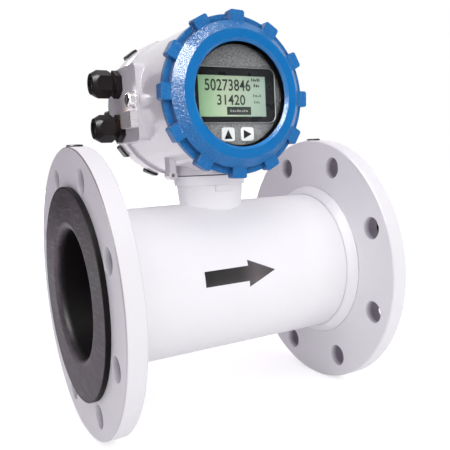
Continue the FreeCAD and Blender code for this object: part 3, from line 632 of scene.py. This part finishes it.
flow_arrow()
bezel_trim()
plain_digits("digits_total", "50273846", -27, 3.9, 12.2, 40.2)
plain_digits("digits_rate", "31420", -17.1, -6.9, 10.8, 24.9)
key_symbol("symbol_up", "key_up", "up_key", 0.0)
key_symbol("symbol_right", "key_right", "right_key", math.pi / 2)
unit_rows = dashes(14.6, 22.9, 11.3, 2.5, 5) + dashes(16.6, 22.2, 6.9, 2.5, 3)
faint_rows = dashes(15.7, 23.6, -0.9, 2.2, 4) + dashes(16.4, 22.4, -5.8, 2.2, 3)
marks("unit_marks", unit_rows, ink)
marks("faint_marks", faint_rows, faint_ink)
marks("mode_block", [(-8.4, 13.2, -14.7, -8.5)], ink)
marks("mode_marks", dashes(-5.6, 10.6, -12.5, 1.8, 8), pale_ink, 0.06 * MM)


# --- stage and light -------------------------------------------------------
def card(name, width, height, finish, z=0.0):
    """Flat rectangle of the stage, which isn't part of the object."""
    bm = bmesh.new()
    for x, y in ((-1, -1), (1, -1), (1, 1), (-1, 1)):
        bm.verts.new((x * width / 2, y * height / 2, z))
    bm.faces.new(bm.verts)
    mesh = bpy.data.meshes.new(name)
    bm.to_mesh(mesh)
    bm.free()
    mesh.materials.append(finish.mat)
    obj = bpy.data.objects.new(name, mesh)
    scene.collection.objects.link(obj)
    return obj


def stage_floor():
    """Pale floor, white to the camera further off and shaded by the object nearby."""
    f = Finish("floor_pale")
    f.colour(f.ramp(f.noise(3.0), (0.3, (0.82, 0.82, 0.82)), (0.7, (0.85, 0.85, 0.85))))
    f.roughness(0.9)
    path = f.add("ShaderNodeLightPath")
    seen = f.math("MAXIMUM", path.outputs["Is Camera Ray"],
                  f.math("MAXIMUM", path.outputs["Is Glossy Ray"], path.outputs["Is Transmission Ray"]))
    f.shader.inputs["Emission Color"].default_value = (1, 1, 1, 1)
    near = f.remap(length(f, f.axis("X"), f.axis("Y")), 0.5, 1.0, 0.35, 0.9)
    f.join(f.math("MULTIPLY", seen, near), f.shader.inputs["Emission Strength"])
    card("stage_floor", 12.0, 12.0, f, cad_box[0][2])


def surroundings():
    """World that lights plainly and is white to the camera and in reflections."""
    world = bpy.data.worlds.new("studio")
    scene.world = world
    world.use_nodes = True
    tree = world.node_tree
    tree.nodes.clear()

    def add(kind, **settings):
        node = tree.nodes.new(kind)
        for key, value in settings.items():
            setattr(node, key, value)
        return node

    path, plain, white = add("ShaderNodeLightPath"), add("ShaderNodeBackground"), add("ShaderNodeBackground")
    seen, seen_too = add("ShaderNodeMath", operation="MAXIMUM"), add("ShaderNodeMath", operation="MAXIMUM")
    mix, out = add("ShaderNodeMixShader"), add("ShaderNodeOutputWorld")
    plain.inputs["Color"].default_value = (1.0, 0.88, 1.08, 1)
    plain.inputs["Strength"].default_value = 0.62
    white.inputs["Color"].default_value = (1, 1, 1, 1)
    white.inputs["Strength"].default_value = 1.0
    links = tree.links.new
    links(path.outputs["Is Camera Ray"], seen.inputs[0])
    links(path.outputs["Is Glossy Ray"], seen.inputs[1])
    links(seen.outputs[0], seen_too.inputs[0])
    links(path.outputs["Is Transmission Ray"], seen_too.inputs[1])
    links(seen_too.outputs[0], mix.inputs[0])
    links(plain.outputs[0], mix.inputs[1])
    links(white.outputs[0], mix.inputs[2])
    links(mix.outputs[0], out.inputs["Surface"])


def facing_target(place, target):
    """Placement whose -Z points at the target."""
    ahead = (Vector(target) - Vector(place)).normalized()
    return Matrix.Translation(place) @ ahead.to_track_quat("-Z", "Y").to_matrix().to_4x4()


def softbox(name, place, target, size, power, colour=(1, 1, 1), glint=False, mirrored=True):
    """Soft lamp, size in metres and power in watts. A glint lamp shows only in reflections, and one that
    isn't mirrored shows in none."""
    data = bpy.data.lights.new(name, "AREA")
    data.shape = "RECTANGLE"
    data.size, data.size_y = size
    data.energy = power
    data.color = colour
    lamp = bpy.data.objects.new(name, data)
    scene.collection.objects.link(lamp)
    lamp.matrix_world = facing_target(place, target)
    lamp.visible_diffuse = not glint
    lamp.visible_glossy = mirrored


def dark_flag(name, place, target, width, height, shade, blocks=False):
    """Dark card unseen by the camera; it shows in reflections, and may block the light behind it."""
    f = Finish(name, Roughness=1.0, Specular_IOR_Level=0.0)
    f.colour(f.ramp(f.noise(4.0), (0.3, tone((shade,) * 3, 0.9)), (0.7, tone((shade,) * 3, 1.1))))
    flag = card(name, width, height, f)
    flag.matrix_world = facing_target(place, target)
    flag.visible_camera = False
    flag.visible_diffuse = flag.visible_shadow = blocks


HEAD = (0, 0, HEAD_Z)
stage_floor()
surroundings()
softbox("key", (0.5, -1.45, 0.75), (0, 0, 0.05), (1.1, 1.1), 7.3, (0.90, 1.0, 0.86), mirrored=False)
softbox("fill", (-0.45, -1.5, 0.55), (0.1, 0, 0.05), (1.2, 0.9), 4.5, (0.95, 1.0, 0.93))
softbox("top", (0.1, -0.1, 1.5), (0, 0, 0.05), (1.2, 1.2), 6.6, (0.97, 1.0, 0.95), mirrored=False)
softbox("strip", (-0.9, -0.4, 1.0), HEAD, (0.42, 1.0), 120.0, glint=True)
dark_flag("front_flag", (0.75, -1.3, 0.3), HEAD, 3.4, 2.2, 0.03)
dark_flag("rear_flag", (-0.75, 1.5, 0.25), HEAD, 1.6, 1.0, 0.05)
dark_flag("left_flag", (-1.1, 0.3, 0.2), (0, 0.3, 0.1), 1.8, 0.9, 0.12, blocks=True)
